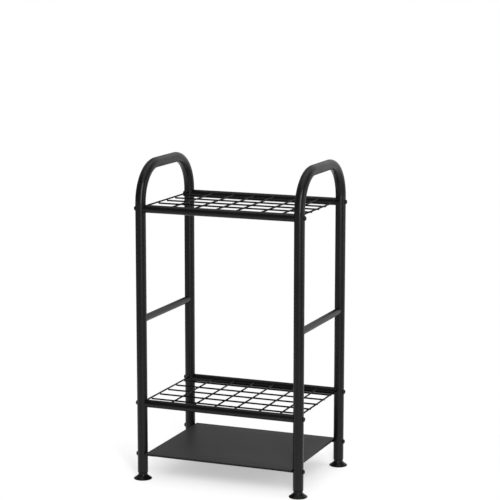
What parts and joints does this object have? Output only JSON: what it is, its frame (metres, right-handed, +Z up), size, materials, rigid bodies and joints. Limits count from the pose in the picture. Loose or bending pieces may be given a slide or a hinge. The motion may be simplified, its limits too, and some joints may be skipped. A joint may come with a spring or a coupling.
{
  "type": "garden tool rack",
  "caption": "Freestanding black steel tube rack that holds long garden tools upright in two wire grids over a base plate, on levelling feet.",
  "frame": {"origin": "middle of the footprint, on the floor", "axes": "+Z up, +X along the long side towards the right hoop, -Y towards the front"},
  "size_m": [0.5696, 0.4216, 0.9894],
  "materials": {
    "black_coat": "satin black powder coat",
    "plate_coat": "fine textured dark grey powder coat",
    "black_zinc": "satin black plated steel",
    "black_plastic": "smooth moulded black plastic"
  },
  "bodies": {
    "frame": {"left_hoop": "black_coat", "left_cross_bar": "black_coat", "right_hoop": "black_coat", "right_cross_bar": "black_coat", "lower_front_rail": "black_coat", "lower_back_rail": "black_coat", "lower_long_wire_1": "black_coat", "lower_long_wire_2": "black_coat", "lower_long_wire_3": "black_coat", "lower_long_wire_4": "black_coat", "lower_long_wire_5": "black_coat", "lower_cross_wire_1": "black_coat", "lower_cross_wire_2": "black_coat", "lower_cross_wire_3": "black_coat", "lower_cross_wire_4": "black_coat", "lower_cross_wire_5": "black_coat", "lower_cross_wire_6": "black_coat", "lower_cross_wire_7": "black_coat", "lower_cross_wire_8": "black_coat", "upper_front_rail": "black_coat", "upper_back_rail": "black_coat", "upper_long_wire_1": "black_coat", "upper_long_wire_2": "black_coat", "upper_long_wire_3": "black_coat", "upper_long_wire_4": "black_coat", "upper_long_wire_5": "black_coat", "upper_cross_wire_1": "black_coat", "upper_cross_wire_2": "black_coat", "upper_cross_wire_3": "black_coat", "upper_cross_wire_4": "black_coat", "upper_cross_wire_5": "black_coat", "upper_cross_wire_6": "black_coat", "upper_cross_wire_7": "black_coat", "upper_cross_wire_8": "black_coat", "base_plate": "plate_coat", "base_bolt_front_left": "black_zinc", "lower_rail_bolt_front_left": "black_zinc", "upper_rail_bolt_front_left": "black_zinc", "leg_plug_front_left": "black_plastic", "base_bolt_back_left": "black_zinc", "lower_rail_bolt_back_left": "black_zinc", "upper_rail_bolt_back_left": "black_zinc", "leg_plug_back_left": "black_plastic", "base_bolt_front_right": "black_zinc", "lower_rail_bolt_front_right": "black_zinc", "upper_rail_bolt_front_right": "black_zinc", "leg_plug_front_right": "black_plastic", "base_bolt_back_right": "black_zinc", "lower_rail_bolt_back_right": "black_zinc", "upper_rail_bolt_back_right": "black_zinc", "leg_plug_back_right": "black_plastic"},
    "pad_front_left": {"foot_pad_front_left": "black_plastic"},
    "screw_front_left": {"foot_screw_front_left": "black_zinc"},
    "pad_back_left": {"foot_pad_back_left": "black_plastic"},
    "screw_back_left": {"foot_screw_back_left": "black_zinc"},
    "pad_front_right": {"foot_pad_front_right": "black_plastic"},
    "screw_front_right": {"foot_screw_front_right": "black_zinc"},
    "pad_back_right": {"foot_pad_back_right": "black_plastic"},
    "screw_back_right": {"foot_screw_back_right": "black_zinc"}
  },
  "joints": [
    {"name": "foot_lift_front_left", "type": "slide", "parent": "frame", "child": "pad_front_left", "axis": [0, 0, -1], "range_m": [0, 0.015]},
    {"name": "foot_turn_front_left", "type": "hinge", "parent": "pad_front_left", "child": "screw_front_left", "pos_m": [-0.2565, -0.1825, 0.0123], "axis": [0, 0, -1], "range_deg": [0, 4320]},
    {"name": "foot_lift_back_left", "type": "slide", "parent": "frame", "child": "pad_back_left", "axis": [0, 0, -1], "range_m": [0, 0.015]},
    {"name": "foot_turn_back_left", "type": "hinge", "parent": "pad_back_left", "child": "screw_back_left", "pos_m": [-0.2565, 0.1825, 0.0123], "axis": [0, 0, -1], "range_deg": [0, 4320]},
    {"name": "foot_lift_front_right", "type": "slide", "parent": "frame", "child": "pad_front_right", "axis": [0, 0, -1], "range_m": [0, 0.015]},
    {"name": "foot_turn_front_right", "type": "hinge", "parent": "pad_front_right", "child": "screw_front_right", "pos_m": [0.2565, -0.1825, 0.0123], "axis": [0, 0, -1], "range_deg": [0, 4320]},
    {"name": "foot_lift_back_right", "type": "slide", "parent": "frame", "child": "pad_back_right", "axis": [0, 0, -1], "range_m": [0, 0.015]},
    {"name": "foot_turn_back_right", "type": "hinge", "parent": "pad_back_right", "child": "screw_back_right", "pos_m": [0.2565, 0.1825, 0.0123], "axis": [0, 0, -1], "range_deg": [0, 4320]}
  ],
  "couplings": [
    {"joint": "foot_turn_front_left", "follows": "foot_lift_front_left", "rad_per_m": 5026.5},
    {"joint": "foot_turn_back_left", "follows": "foot_lift_back_left", "rad_per_m": 5026.5},
    {"joint": "foot_turn_front_right", "follows": "foot_lift_front_right", "rad_per_m": 5026.5},
    {"joint": "foot_turn_back_right", "follows": "foot_lift_back_right", "rad_per_m": 5026.5}
  ]
}
